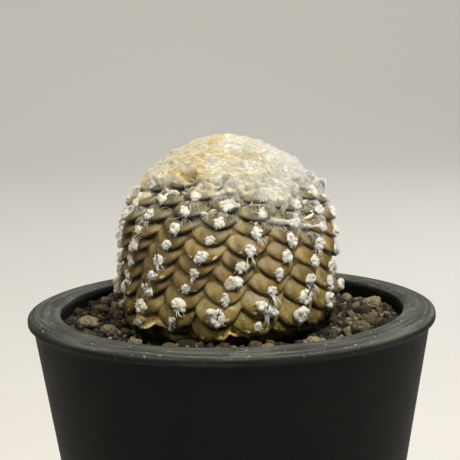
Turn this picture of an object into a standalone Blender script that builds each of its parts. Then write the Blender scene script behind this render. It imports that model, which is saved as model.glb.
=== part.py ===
"""A small woolly globular cactus in a thick-rimmed unglazed stoneware pot.

One named object for each piece, in metres, +Z up. The origin is the centre of the pot's foot, on the
surface that the pot stands on. The lengths below are in millimetres and MM turns them into metres.

The cactus is grown on a bijugate spiral: two tubercles on opposite sides at every step, each step turned
by one divergence angle from the last and placed a little further along the body's outline. The outline
runs from the growing tip, over the shoulder and down to the taproot, and distances along it are arcs.
"""

import math
import random
from typing import NamedTuple

import bmesh
import bpy
import numpy as np
from mathutils import Matrix, Vector
from mathutils.geometry import delaunay_2d_cdt

MM = 0.001
GAP = 0.3  # clearance between pieces that rest on each other

# Pot
POT_HEIGHT = 85.0  # to the inner edge of the rim
RIM_INNER_RADIUS = 44.4
RIM_OUTER_RADIUS = 52.8
RIM_CROWN = 0.37  # the rim's top stands this far above its inner edge
RIM_DEPTH = 2.9
WALL_TOP_RADIUS = 51.4
FOOT_OUTER_RADIUS = 38.0
FOOT_INNER_RADIUS = 33.5
FOOT_LIFT = 2.0
FLOOR_THICKNESS = 2.5
WALL_THICKNESS = 6.0
DRAIN_RADIUS = 7.0
POT_SEGMENTS = 72

# Mesh over the drain hole
NET_CELLS = 6
NET_PITCH = 4.0
NET_BAR = 1.0
NET_THICKNESS = 1.0

# Potting mix
MIX_DEPTH_BELOW_RIM = 4.6
MIX_SEGMENTS = 60
MIX_ROUGHNESS = 0.9
MIX_SOCKET_CLEARANCE = 0.8

# Cactus body: (height above the pot's inner rim edge, radius over the tubercles), from tip to taproot
BODY_CENTRE_X = -0.6
BODY_OUTLINE = (
    (43.5, 0.0),
    (42.9, 4.0),
    (41.6, 8.0),
    (39.3, 13.0),
    (36.2, 17.7),
    (33.0, 21.3),
    (30.3, 23.7),
    (27.2, 25.9),
    (24.0, 27.3),
    (19.0, 28.2),
    (15.0, 28.3),
    (10.0, 28.0),
    (5.0, 27.8),
    (1.0, 27.0),
    (-2.0, 25.6),
    (-5.0, 23.3),
    (-8.0, 19.5),
    (-12.0, 15.0),
)
TAPROOT = ((-16.0, 10.5), (-24.0, 8.0), (-36.0, 5.0), (-50.0, 2.2))
DIVERGENCE = 68.03  # degrees from one step of the spiral to the next
EQUATOR_RISE = 0.506  # arc from one step to the next where the body is widest
ANCHOR_ANGLE = -17.3  # degrees from the front (-Y) to the right, for step 0
ANCHOR_HEIGHT = 14.2  # of step 0, above the pot's inner rim edge
FIRST_ARC = 13.0  # above this the body is a plain dome, hidden in wool
LAST_ARC = 69.0
MOST_STRETCH = 2.5  # the steps grow no more than this many times towards the tip and the base
TUBERCLE_HEIGHT = 2.9
TUBERCLE_RINGS = ((0.80, 0.72), (0.40, 1.0))  # (share of the cell's width, share of the tubercle's height)
CREASE_LIFT = 0.5  # the creases sit this far above the middle between two tubercles

# Wool
CROWN_EDGE_ARC = 25.0
CROWN_THICKNESS = 1.5
CROWN_EDGE_THICKNESS = 0.6
CROWN_SEGMENTS = 40
TUFT_COUNT = 30
TUFT_RADIUS = (1.3, 2.3)
TUFT_HALF_THICKNESS = 0.6
TUFT_FIRST_ARC = 31.0
TUFT_LAST_ARC = 64.0

# Spines, on the tufts at these (step of the spiral, side)
SPINE_SITES = ((18, 1), (29, 1), (15, 0), (20, 0), (-5, 0), (11, 0), (24, 0), (12, 0), (8, 0), (3, 0))
SPINE_LENGTH = (2.8, 4.2)
SPINE_BASE_RADIUS = 0.3
SPINE_TIP_RADIUS = 0.08

# Loose crumbs of pumice and bark on the mix: (angle in degrees from the front, radius from the axis, size)
CRUMBS = (
    (-78, 37.5, 2.3),
    (-66, 34.5, 1.8),
    (-38, 38.5, 1.9),
    (-24, 37.0, 2.1),
    (14, 36.0, 1.8),
    (33, 38.0, 2.0),
    (58, 37.5, 2.2),
    (74, 36.0, 1.9),
    (104, 38.5, 2.3),
    (131, 36.5, 1.9),
    (163, 38.0, 2.0),
    (197, 36.5, 2.2),
    (226, 38.5, 1.8),
    (251, 37.0, 2.1),
)
CRUMB_POINTS = 14

COLOURS = {
    "stoneware": ((0.021, 0.023, 0.025), 0.62),
    "net": ((0.03, 0.03, 0.03), 0.5),
    "mix": ((0.078, 0.052, 0.036), 0.95),
    "crumb": ((0.16, 0.12, 0.09), 0.95),
    "cactus": ((0.165, 0.115, 0.045), 0.5),
    "wool": ((0.78, 0.74, 0.64), 0.95),
    "spine": ((0.02, 0.016, 0.014), 0.45),
}


class Site(NamedTuple):
    """A tubercle's place: its step on the spiral, which of the two sides, its angle, and its arc from the tip."""

    step: int
    side: int
    angle: float
    arc: float


def clear_scene():
    for obj in list(bpy.data.objects):
        bpy.data.objects.remove(obj, do_unlink=True)


def make_material(name):
    colour, roughness = COLOURS[name]
    material = bpy.data.materials.new(name)
    material.use_nodes = True
    shader = material.node_tree.nodes["Principled BSDF"]
    shader.inputs["Base Color"].default_value = (*colour, 1.0)
    shader.inputs["Roughness"].default_value = roughness
    shader.inputs["Metallic"].default_value = 0.0
    return material


def add_object(name, bm, material, location=(0.0, 0.0, 0.0), sharp_angle=40.0):
    """Turns a bmesh in millimetres into a named object in metres."""
    bmesh.ops.scale(bm, vec=(MM, MM, MM), verts=bm.verts)
    mesh = bpy.data.meshes.new(name)
    bm.to_mesh(mesh)
    bm.free()
    mesh.materials.append(material)
    mesh.shade_smooth()
    mesh.set_sharp_from_angle(angle=math.radians(sharp_angle))
    obj = bpy.data.objects.new(name, mesh)
    obj.location = Vector(location) * MM
    bpy.context.scene.collection.objects.link(obj)
    return obj


def turned(outline, segments):
    """A solid of revolution about Z from a closed outline of (radius, height) points."""
    bm = bmesh.new()
    points = [bm.verts.new((radius, 0.0, height)) for radius, height in outline]
    edges = [bm.edges.new((a, b)) for a, b in zip(points, points[1:])]
    if outline[0][0] > 0.0 or outline[-1][0] > 0.0:
        edges.append(bm.edges.new((points[-1], points[0])))
    bmesh.ops.spin(
        bm,
        geom=points + edges,
        cent=(0.0, 0.0, 0.0),
        axis=(0.0, 0.0, 1.0),
        angle=math.tau,
        steps=segments,
        use_merge=True,
    )
    bmesh.ops.remove_doubles(bm, verts=bm.verts, dist=1e-4)
    bmesh.ops.recalc_face_normals(bm, faces=bm.faces)
    return bm


def lerp(low, high, share):
    return low + (high - low) * share


def inner_wall_radius(height):
    """The pot's inner wall: nearly upright under the rim, then tapering to the floor."""
    upright_to = POT_HEIGHT - 8.0
    floor = FOOT_LIFT + FLOOR_THICKNESS
    floor_radius = FOOT_OUTER_RADIUS - WALL_THICKNESS
    if height >= upright_to:
        return RIM_INNER_RADIUS - 0.05 * (POT_HEIGHT - height)
    top_radius = RIM_INNER_RADIUS - 0.4
    return lerp(floor_radius, top_radius, (height - floor) / (upright_to - floor))


def make_pot(material):
    floor = FOOT_LIFT + FLOOR_THICKNESS
    top = POT_HEIGHT
    corner = 2.5
    bm = turned(
        (
            (DRAIN_RADIUS, floor - 0.4),
            (DRAIN_RADIUS + 0.5, floor),
            (inner_wall_radius(floor) - corner, floor),
            (inner_wall_radius(floor) - 0.3 * corner, floor + 0.3 * corner),
            (inner_wall_radius(floor + corner), floor + corner),
            (inner_wall_radius(top - 8.0), top - 8.0),
            (RIM_INNER_RADIUS, top - 0.5),
            (RIM_INNER_RADIUS + 0.4, top),
            (RIM_INNER_RADIUS + 3.1, top + RIM_CROWN),
            (RIM_OUTER_RADIUS - 3.0, top + 0.1),
            (RIM_OUTER_RADIUS - 1.1, top - 0.3),
            (RIM_OUTER_RADIUS - 0.2, top - 0.75),
            (RIM_OUTER_RADIUS, top - 1.2),
            (RIM_OUTER_RADIUS, top - RIM_DEPTH + 0.6),
            (RIM_OUTER_RADIUS - 0.5, top - RIM_DEPTH + 0.15),
            (WALL_TOP_RADIUS, top - RIM_DEPTH),
            (FOOT_OUTER_RADIUS + 0.2, 1.0),
            (FOOT_OUTER_RADIUS - 0.5, 0.0),
            (FOOT_INNER_RADIUS, 0.0),
            (FOOT_INNER_RADIUS - 0.7, FOOT_LIFT),
            (DRAIN_RADIUS + 0.5, FOOT_LIFT),
            (DRAIN_RADIUS, FOOT_LIFT + 0.4),
        ),
        POT_SEGMENTS,
    )
    add_object("pot", bm, material)


def make_drain_net(material):
    """A square net laid over the drain hole: a grid with its cells cut out, then given thickness."""
    lines = []
    for index in range(NET_CELLS + 1):
        start = (index - NET_CELLS / 2) * NET_PITCH - NET_BAR / 2
        lines += [start, start + NET_BAR]
    top = FOOT_LIFT + FLOOR_THICKNESS + GAP + NET_THICKNESS
    bm = bmesh.new()
    grid = [[bm.verts.new((x, y, top)) for x in lines] for y in lines]
    for row in range(len(lines) - 1):
        for column in range(len(lines) - 1):
            if row % 2 and column % 2:
                continue
            bm.faces.new(
                (
                    grid[row][column],
                    grid[row][column + 1],
                    grid[row + 1][column + 1],
                    grid[row + 1][column],
                )
            )
    bm.normal_update()
    bmesh.ops.solidify(bm, geom=bm.faces[:], thickness=NET_THICKNESS)
    bmesh.ops.recalc_face_normals(bm, faces=bm.faces)
    add_object("drain_net", bm, material)


def mix_height(angle, radius):
    """Height of the mix's uneven top: waves of three sizes round a slightly banked ring."""
    level = POT_HEIGHT - MIX_DEPTH_BELOW_RIM
    waves = (
        0.5 * math.sin(3.0 * angle + 0.11 * radius)
        + 0.3 * math.sin(7.0 * angle - 0.35 * radius + 1.3)
        + 0.2 * math.cos(13.0 * angle + 0.6 * radius + 0.4)
    )
    return level + MIX_ROUGHNESS * waves


def make_potting_mix(material):
    """The mix fills the pot up to its uneven top, with a socket for the cactus base and its taproot."""
    floor = FOOT_LIFT + FLOOR_THICKNESS
    net_half = NET_CELLS * NET_PITCH / 2 + NET_BAR
    net_top = floor + GAP + NET_THICKNESS + GAP
    side_steps = (floor + 4.0, POT_HEIGHT - 8.0)
    top_radii = (43.6, 41.0, 38.0, 35.0, 32.0, 29.6)
    outline = [(0.0, net_top), (net_half * math.sqrt(2.0), net_top), (net_half * math.sqrt(2.0) + 1.0, floor + GAP)]
    outline += [(inner_wall_radius(floor) - 3.0, floor + GAP)]
    outline += [(inner_wall_radius(height) - GAP * 1.2, height) for height in side_steps]
    first_top = len(outline)
    outline += [(radius, POT_HEIGHT) for radius in top_radii]
    last_top = len(outline)
    below_top = [(height, radius) for height, radius in BODY_OUTLINE if height < -MIX_DEPTH_BELOW_RIM - 1.5]
    outline += [
        (radius + MIX_SOCKET_CLEARANCE + abs(BODY_CENTRE_X), height + POT_HEIGHT)
        for height, radius in below_top + list(TAPROOT)
    ]
    outline.append((0.0, outline[-1][1] - 4.0))
    bm = turned(outline, MIX_SEGMENTS)
    top_set = {round(radius, 2) for radius, _ in outline[first_top:last_top]}
    for vert in bm.verts:
        radius = math.hypot(vert.co.x, vert.co.y)
        if vert.co.z > POT_HEIGHT - 0.01 and round(radius, 2) in top_set:
            vert.co.z = mix_height(math.atan2(vert.co.x, -vert.co.y), radius)
    add_object("potting_mix", bm, material, sharp_angle=60.0)


def outline_samples():
    """The body's outline as fine samples: arc from the tip, radius, height, and the outward normal."""
    heights, radii = np.array(BODY_OUTLINE).T
    knots = np.concatenate(([0.0], np.cumsum(np.hypot(np.diff(heights), np.diff(radii)))))
    arc = np.linspace(0.0, knots[-1], 600)
    radius = np.interp(arc, knots, radii)
    height = np.interp(arc, knots, heights) + POT_HEIGHT
    kernel = np.ones(31) / 31
    run = np.convolve(np.pad(np.gradient(radius, arc), 15, mode="edge"), kernel, mode="valid")
    drop = np.convolve(np.pad(np.gradient(height, arc), 15, mode="edge"), kernel, mode="valid")
    length = np.hypot(run, drop)
    return arc, radius, height, -drop / length, run / length


OUTLINE = outline_samples()


def body_frame(angle, arc):
    """Point, outward normal, sideways and upward unit vectors of the smooth body, in millimetres."""
    radius, height, normal_out, normal_up = (np.interp(arc, OUTLINE[0], part) for part in OUTLINE[1:])
    outward = Vector((math.sin(angle), -math.cos(angle), 0.0))
    normal = outward * normal_out + Vector((0.0, 0.0, normal_up))
    side = Vector((math.cos(angle), math.sin(angle), 0.0))
    point = outward * radius + Vector((BODY_CENTRE_X, 0.0, height))
    return point, normal, side, normal.cross(side)


def spiral_sites():
    """The tip of every tubercle: the arc from step to step grows as the body narrows, so the areas agree."""
    widest = max(radius for _, radius in BODY_OUTLINE)
    anchor_arc = float(np.interp(-ANCHOR_HEIGHT - POT_HEIGHT, -OUTLINE[2], OUTLINE[0]))
    sites = []
    for direction in (-1, 1):
        step, arc = 0, anchor_arc
        while FIRST_ARC <= arc <= LAST_ARC:
            if step or direction > 0:
                turn = math.radians(ANCHOR_ANGLE - DIVERGENCE * step)
                sites += [Site(step, 0, turn, arc), Site(step, 1, turn + math.pi, arc)]
            radius = float(np.interp(arc, OUTLINE[0], OUTLINE[1]))
            arc += direction * EQUATOR_RISE * min(widest / radius, MOST_STRETCH)
            step += direction
    return sorted(sites, key=lambda site: site.arc)


def spiral_cells(sites):
    """Joins each site to the triangles round it, in a plane where the body's angles are kept true."""
    spread = np.concatenate(([0.0], np.cumsum(np.diff(OUTLINE[0]) / np.maximum(OUTLINE[1][1:], 1.0))))
    spread -= spread[-1]
    flat = []
    for site in sites:
        reach = math.exp(float(np.interp(site.arc, OUTLINE[0], spread)))
        flat.append(Vector((reach * math.cos(site.angle), reach * math.sin(site.angle))))
    flat.append(Vector((0.0, 0.0)))
    return delaunay_2d_cdt(flat, [], [], 0, 1e-9)[2]


def crease_point(corners):
    """The crease vertex where three tubercles meet, sunk to the foot of the tubercles."""
    east = sum(math.sin(site.angle) for site in corners)
    north = sum(math.cos(site.angle) for site in corners)
    arc = sum(site.arc for site in corners) / len(corners)
    point, normal, _, up = body_frame(math.atan2(east, north), arc)
    return point - normal * TUBERCLE_HEIGHT + up * CREASE_LIFT


def make_cactus_stem(material):
    """Tubercles on the spiral: each cell rises in two rings to a flat seat, and the base closes on the taproot."""
    sites = spiral_sites()
    triangles = spiral_cells(sites)
    apex = len(sites)
    bm = bmesh.new()
    rings = [[] for _ in sites]
    tip_ring = []
    for triangle in triangles:
        real = [sites[index] for index in triangle if index < apex]
        vert = bm.verts.new(crease_point(real))
        for index in triangle:
            (tip_ring if index >= apex else rings[index]).append(vert)
    edge_sites = boundary_sites(triangles)
    for index, site in enumerate(sites):
        if index not in edge_sites:
            raise_tubercle(bm, rings[index], site)
    cap_apex(bm, tip_ring)
    close_base(bm)
    bmesh.ops.recalc_face_normals(bm, faces=bm.faces)
    bmesh.ops.triangulate(bm, faces=bm.faces)
    add_object("cactus_stem", bm, material, sharp_angle=75.0)


def boundary_sites(triangles):
    """Sites on the outer edge of the triangulation, whose rings are open."""
    edges = {}
    for a, b, c in triangles:
        for pair in ((a, b), (b, c), (c, a)):
            key = tuple(sorted(pair))
            edges[key] = edges.get(key, 0) + 1
    return {index for pair, count in edges.items() if count == 1 for index in pair}


def in_turn(verts, centre, side, up):
    """The vertices sorted round a centre, in the plane of two directions."""
    return sorted(verts, key=lambda v: math.atan2((v.co - centre).dot(up), (v.co - centre).dot(side)))


def raise_tubercle(bm, ring, site):
    """One tubercle on its ring of creases: shrunken copies of the ring, each flat and higher than the last."""
    tip, normal, side, up = body_frame(site.angle, site.arc)
    ring = in_turn(ring, tip, side, up)
    offsets = [(vert.co - tip) - normal * (vert.co - tip).dot(normal) for vert in ring]
    for width, rise in TUBERCLE_RINGS:
        level = tip - normal * TUBERCLE_HEIGHT * (1.0 - rise)
        upper = [bm.verts.new(level + offset * width) for offset in offsets]
        bridge(bm, ring, upper)
        ring = upper
    bm.faces.new(ring)


def bridge(bm, lower, upper):
    """A band of four-sided faces between two rings of equal count."""
    count = len(lower)
    for index in range(count):
        after = (index + 1) % count
        bm.faces.new((lower[index], lower[after], upper[after], upper[index]))


def cap_apex(bm, ring):
    """The growing tip: a plain low dome over the innermost creases."""
    centre, _, _, _ = body_frame(0.0, 0.0)
    ring = in_turn(ring, centre, Vector((1.0, 0.0, 0.0)), Vector((0.0, 1.0, 0.0)))
    top = bm.verts.new(centre - Vector((0.0, 0.0, TUBERCLE_HEIGHT * 0.4)))
    for index, vert in enumerate(ring):
        bm.faces.new((vert, ring[(index + 1) % len(ring)], top))


def close_base(bm):
    """Draws the open lower edge in to the taproot, ring by ring, and closes it at the root's end."""
    edges = [edge for edge in bm.edges if edge.is_boundary]
    for height, radius in TAPROOT:
        made = bmesh.ops.extrude_edge_only(bm, edges=edges)["geom"]
        for vert in (item for item in made if isinstance(item, bmesh.types.BMVert)):
            away = Vector((vert.co.x - BODY_CENTRE_X, vert.co.y, 0.0)).normalized()
            vert.co = away * radius + Vector((BODY_CENTRE_X, 0.0, height + POT_HEIGHT))
        edges = [item for item in made if isinstance(item, bmesh.types.BMEdge)]
    bmesh.ops.contextual_create(bm, geom=edges)


def make_crown_wool(material):
    """A thin felted cap over the growing tip, following the body's outline just clear of the tubercles."""
    arcs = [CROWN_EDGE_ARC * share for share in (0.0, 0.2, 0.4, 0.6, 0.8, 0.94, 1.0)]
    outer, inner = [], []
    for arc in arcs:
        point, normal, _, _ = body_frame(math.pi / 2, arc)
        share = arc / CROWN_EDGE_ARC
        thickness = lerp(CROWN_THICKNESS, CROWN_EDGE_THICKNESS, share**3)
        for offset, line in ((GAP, inner), (GAP + thickness, outer)):
            place = point + normal * offset
            line.append((max(place.x - BODY_CENTRE_X, 0.0), place.z))
    inner[0] = (0.0, inner[0][1])
    outer[0] = (0.0, outer[0][1])
    bm = turned(outer + inner[::-1], CROWN_SEGMENTS)
    add_object("crown_wool", bm, material, location=(BODY_CENTRE_X, 0.0, 0.0), sharp_angle=60.0)


def tuft_sites():
    """(size, site) of the areole tufts: all that carry a spine, then the largest. Low ones are older and larger."""
    draw = random.Random(17)
    ranked = []
    for site in spiral_sites():
        size = 0.6 * site.arc / LAST_ARC + 0.4 * draw.random()
        spined = (site.step, site.side) in SPINE_SITES
        if spined or TUFT_FIRST_ARC <= site.arc <= TUFT_LAST_ARC:
            ranked.append((spined, size, site))
    ranked.sort(reverse=True)
    return [(size, site) for _, size, site in ranked[:TUFT_COUNT]]


def make_tufts(material):
    """Each tuft is a lens of felt on a tubercle's flat seat."""
    for number, (size, site) in enumerate(tuft_sites(), start=1):
        tip, normal, side, up = body_frame(site.angle, site.arc)
        radius = lerp(*TUFT_RADIUS, size)
        bm = bmesh.new()
        bmesh.ops.create_uvsphere(bm, u_segments=8, v_segments=5, radius=1.0)
        bmesh.ops.scale(bm, vec=(radius, radius * 0.85, TUFT_HALF_THICKNESS), verts=bm.verts)
        turn = Matrix((side, up, normal)).transposed()
        bmesh.ops.rotate(bm, cent=(0.0, 0.0, 0.0), matrix=turn, verts=bm.verts)
        centre = tip + normal * (GAP + TUFT_HALF_THICKNESS)
        add_object(f"areole_wool_{number:02d}", bm, material, location=centre, sharp_angle=80.0)


def make_spines(material):
    """Black straight spines standing on a few of the tufts, leaning outwards and up."""
    spined = [site for site in spiral_sites() if (site.step, site.side) in SPINE_SITES]
    for number, site in enumerate(spined, start=1):
        tip, normal, side, up = body_frame(site.angle, site.arc)
        lean = (normal + side * 0.25 * math.sin(2.4 * number) + up * 0.6).normalized()
        length = lerp(*SPINE_LENGTH, (number * 0.37) % 1.0)
        bm = bmesh.new()
        bmesh.ops.create_cone(
            bm,
            cap_ends=True,
            segments=6,
            radius1=SPINE_BASE_RADIUS,
            radius2=SPINE_TIP_RADIUS,
            depth=length,
        )
        bmesh.ops.translate(bm, vec=(0.0, 0.0, length / 2), verts=bm.verts)
        bmesh.ops.rotate(
            bm,
            cent=(0.0, 0.0, 0.0),
            matrix=lean.to_track_quat("Z", "Y").to_matrix(),
            verts=bm.verts,
        )
        foot = tip + normal * (GAP * 2 + TUFT_HALF_THICKNESS * 2 + SPINE_BASE_RADIUS * 0.5)
        add_object(f"spine_{number:02d}", bm, material, location=foot)


def make_crumbs(material):
    """Angular crumbs lying on the mix: the convex hull of points scattered over a flattened ball."""
    draw = random.Random(5)
    for number, (degrees, radius, size) in enumerate(CRUMBS, start=1):
        angle = math.radians(degrees)
        bm = bmesh.new()
        for _ in range(CRUMB_POINTS):
            ray = Vector((draw.gauss(0, 1), draw.gauss(0, 1), draw.gauss(0, 1))).normalized()
            bm.verts.new((ray.x * size * 1.15, ray.y * size * 0.95, ray.z * size * 0.8))
        hull = bmesh.ops.convex_hull(bm, input=bm.verts)
        unused = {item for item in hull["geom_interior"] if isinstance(item, bmesh.types.BMVert)}
        bmesh.ops.delete(bm, geom=list(unused), context="VERTS")
        lowest = min(vert.co.z for vert in bm.verts)
        ground = max(
            mix_height(angle + turn, radius + shift)
            for turn in (-0.06, 0.0, 0.06)
            for shift in (-size, 0.0, size)
        )
        place = (
            radius * math.sin(angle),
            -radius * math.cos(angle),
            ground + GAP + 0.2 - lowest,
        )
        add_object(f"mix_crumb_{number:02d}", bm, material, location=place, sharp_angle=20.0)


def main():
    clear_scene()
    materials = {name: make_material(name) for name in COLOURS}
    make_pot(materials["stoneware"])
    make_drain_net(materials["net"])
    make_potting_mix(materials["mix"])
    make_cactus_stem(materials["cactus"])
    make_crown_wool(materials["wool"])
    make_tufts(materials["wool"])
    make_spines(materials["spine"])
    make_crumbs(materials["crumb"])


main()
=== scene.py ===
"""A small woolly round cactus in a thick-rimmed black stoneware pot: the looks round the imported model.

The sizes below are in millimetres, with heights above the pot's foot, and MM turns them into metres. A place
on the cactus is an angle from the front (-Y) towards the right (+X), and an arc: the distance along the
body's outline from its growing tip. A lift is a distance out from the outline, which runs over the tips of
the tubercles.
"""

import functools
import math
from types import SimpleNamespace

import bpy
import numpy as np
from bpy.props import FloatProperty, FloatVectorProperty, IntProperty, PointerProperty
from mathutils import Matrix, Vector


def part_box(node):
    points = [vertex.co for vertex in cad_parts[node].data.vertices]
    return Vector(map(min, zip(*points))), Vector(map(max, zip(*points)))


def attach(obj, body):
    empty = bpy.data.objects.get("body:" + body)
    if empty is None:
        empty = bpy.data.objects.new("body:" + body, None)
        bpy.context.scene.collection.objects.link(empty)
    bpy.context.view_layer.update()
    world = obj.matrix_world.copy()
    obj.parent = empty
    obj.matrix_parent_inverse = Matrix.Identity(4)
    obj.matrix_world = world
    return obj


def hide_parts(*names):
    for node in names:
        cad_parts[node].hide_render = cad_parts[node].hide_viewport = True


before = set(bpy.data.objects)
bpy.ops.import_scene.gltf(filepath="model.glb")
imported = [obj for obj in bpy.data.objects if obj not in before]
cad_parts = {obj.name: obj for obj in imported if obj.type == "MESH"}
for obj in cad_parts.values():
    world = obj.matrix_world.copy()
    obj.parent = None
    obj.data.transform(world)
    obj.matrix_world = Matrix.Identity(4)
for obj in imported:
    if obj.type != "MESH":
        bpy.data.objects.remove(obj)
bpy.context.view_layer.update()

bl_info = {
    "name": "Potted round cactus",
    "version": (1, 0, 0),
    "blender": (4, 5, 0),
    "location": "View3D > Sidebar > Cactus",
    "description": "Builds a woolly round cactus in its pot, and a plain stage",
    "category": "Object",
}

MM = 0.001
TAU = math.tau

# The pot
POT_HIGH = np.array(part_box("pot")[1]) / MM
RIM_CROWN = 0.37
RIM = float(POT_HIGH[2]) - RIM_CROWN  # height of the rim's inner edge
RIM_RADIUS = float(POT_HIGH[0])
RIM_INNER_RADIUS = RIM_RADIUS - 8.4
RIM_DEPTH = 2.9
WALL_TOP_RADIUS = RIM_RADIUS - 1.4
FOOT_RADIUS = 38.0
FOOT_INNER_RADIUS = 33.5
FOOT_LIFT = 2.0
FLOOR = 4.5
WALL_THICKNESS = 6.0
DRAIN_RADIUS = 7.0

# The cactus body: (height above the rim's inner edge, radius over the tubercles), from the tip to the root
BODY_CENTRE_X = -0.6
BODY_RADIUS = 28.0  # where it is widest, nearly
BODY_OUTLINE = (
    (43.5, 0.0),
    (42.9, 4.0),
    (41.6, 8.0),
    (39.3, 13.0),
    (36.2, 17.7),
    (33.0, 21.3),
    (30.3, 23.7),
    (27.2, 25.9),
    (24.0, 27.3),
    (19.0, 28.2),
    (15.0, 28.3),
    (10.0, 28.0),
    (5.0, 27.8),
    (1.0, 27.0),
    (-2.0, 25.6),
    (-5.0, 23.3),
    (-8.0, 19.5),
    (-12.0, 15.0),
    (-16.0, 10.5),
    (-24.0, 8.0),
    (-36.0, 5.0),
    (-50.0, 2.2),
)
DIVERGENCE = 68.03  # degrees between steps of the double spiral
EQUATOR_RISE = 0.506  # arc between steps where the body is widest
ANCHOR_ANGLE = -17.3
ANCHOR_HEIGHT = 14.2
FIRST_ARC = 6.0
LAST_ARC = 71.0
MOST_STRETCH = 2.5
BURIED_ARC = 66.0  # below this the body is in the mix
COLUMNS = 448  # round the body and the crown's felt
BETWEEN_LIPS = 0.42  # height of the flesh between lips, as a share of a lip's
LIP_BLEND = 3.2  # per mm: the higher, the sharper the line where two lips meet
LIP_NEAR = 9.5  # no lip reaches further than this from its tip
LIP_LENGTH = 4.3  # the layer named upward is 1 this far above a lip's middle
BURIED_LIFT = -0.6  # of the root's plain skin
SHADOW_ROWS = 12  # how far down a lip darkens the skin, in rows of the skin's grid
SHADOW_RISE = 0.9  # a lip that stands this far out darkens the skin under it fully
# Folds of dried skin: (angle in degrees, half width in degrees, rise, arc, slant, sag, half height)
DRIED_FOLDS = (
    (-48.0, 17.0, 1.9, 58.2, 0.05, 0.0, 1.2),
    (3.0, 12.0, 1.3, 60.3, 0.0, -0.02, 1.1),
)
WEB_LAST_ARC = 42.0  # no strand of wool starts below this
# Gaps in the crown's wool: (angle in degrees, arc, half width, half height)
WOOL_GAPS = (
    (-31.0, 19.3, 2.3, 0.8),
    (-10.0, 21.2, 1.5, 0.6),
    (-1.6, 20.3, 1.1, 0.6),
    (-41.0, 22.4, 2.4, 0.8),
    (2.0, 24.9, 1.4, 0.9),
    (21.0, 23.2, 2.7, 0.9),
    (21.0, 27.6, 1.8, 0.8),
    (3.4, 29.2, 1.9, 0.7),
    (11.0, 31.0, 2.0, 0.8),
    (61.0, 23.3, 1.2, 0.9),
    (46.0, 27.0, 1.4, 0.9),
    (31.0, 28.6, 1.2, 0.7),
)
# Sites are (step, side) on the double spiral. Tufts unlike their neighbours: (half width, half height)
LARGE_TUFTS = {
    (18, 1): (3.1, 1.5),
    (21, 0): (2.0, 2.4),
    (16, 0): (1.9, 1.6),
    (5, 0): (2.3, 1.5),
    (20, 0): (1.6, 2.3),
}
SMALL_TUFTS = ((24, 1), (26, 0), (27, 0), (22, 0), (14, 1), (30, 1))
SMALL_TUFT_SHARE = 0.6  # of an even tuft's size
KNOBS = 4  # on each tuft
LOCK_FIBRES = 16
SPINE_SITES = ((18, 1), (21, 0), (15, 0), (20, 0), (-5, 0), (11, 0), (24, 0), (12, 0), (8, 0), (3, 0))


def linear(code):
    """An sRGB hex colour as linear RGBA."""
    parts = [int(code[i : i + 2], 16) / 255 for i in (1, 3, 5)]
    return tuple(p / 12.92 if p <= 0.04045 else ((p + 0.055) / 1.055) ** 2.4 for p in parts) + (1.0,)


def smoothstep(low, high, value):
    """0 up to low, 1 from high on, and a smooth ramp in between."""
    share = np.clip((value - low) / (high - low), 0.0, 1.0)
    return share * share * (3.0 - 2.0 * share)


def bump(value, centre, width):
    """A smooth hill: 1 at the centre and 0 beyond the width on either side."""
    return 1.0 - smoothstep(0.0, width, np.abs(value - centre))


def around(degrees):
    """Degrees wrapped to -180..180."""
    return (np.asarray(degrees) + 180.0) % 360.0 - 180.0


# ---------------------------------------------------------------- noise


def scatter(x, y, z, seed):
    """A fixed pseudo-random number from -1 to 1 for each whole-number cell."""
    mixed = (
        x.astype(np.uint32) * np.uint32(374761393)
        + y.astype(np.uint32) * np.uint32(668265263)
        + z.astype(np.uint32) * np.uint32(2246822519)
        + np.uint32(seed * 97531 % 4294967296)
    )
    mixed = (mixed ^ (mixed >> np.uint32(13))) * np.uint32(1274126177)
    mixed = mixed ^ (mixed >> np.uint32(16))
    return mixed.astype(np.float64) / 2147483648.0 - 1.0


def noise(points, cell, seed=1):
    """Value noise: random numbers at the corners of cubes with this side, blended smoothly in between."""
    place = np.asarray(points, float) / cell
    corner = np.floor(place).astype(np.int64)
    share = place - corner
    share = share * share * (3.0 - 2.0 * share)
    total = 0.0
    for step in np.ndindex(2, 2, 2):
        x, y, z = (share[..., i] if step[i] else 1 - share[..., i] for i in range(3))
        total = total + x * y * z * scatter(*(corner[..., i] + step[i] for i in range(3)), seed)
    return total


def rough(points, cell, seed=1, octaves=3):
    """Sum of noises, each half the size and half the height of the one before."""
    return sum(noise(points, cell / 2**i, seed + 11 * i) / 2**i for i in range(octaves))


# ---------------------------------------------------------------- meshes


def grid_faces(rows, columns, wrap_rows=False, poles=True):
    """Faces of rings round Z, with rows going down the outside. Any pole points come first and last."""
    start = 1 if poles else 0
    index = start + np.arange(rows * columns).reshape(rows, columns)
    right = np.roll(index, -1, axis=1)
    if wrap_rows:
        below, below_right = np.roll(index, -1, axis=0), np.roll(right, -1, axis=0)
        upper, upper_right = index, right
    else:
        below, below_right = index[1:], right[1:]
        upper, upper_right = index[:-1], right[:-1]
    quads = np.stack([upper, below, below_right, upper_right], axis=-1).reshape(-1, 4)
    if not poles:
        return quads, np.zeros((0, 3), int)
    first = np.stack([np.zeros(columns, int), index[0], right[0]], axis=-1)
    last_pole = np.full(columns, start + rows * columns)
    last = np.stack([last_pole, right[-1], index[-1]], axis=-1)
    return quads, np.concatenate([first, last])


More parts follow.
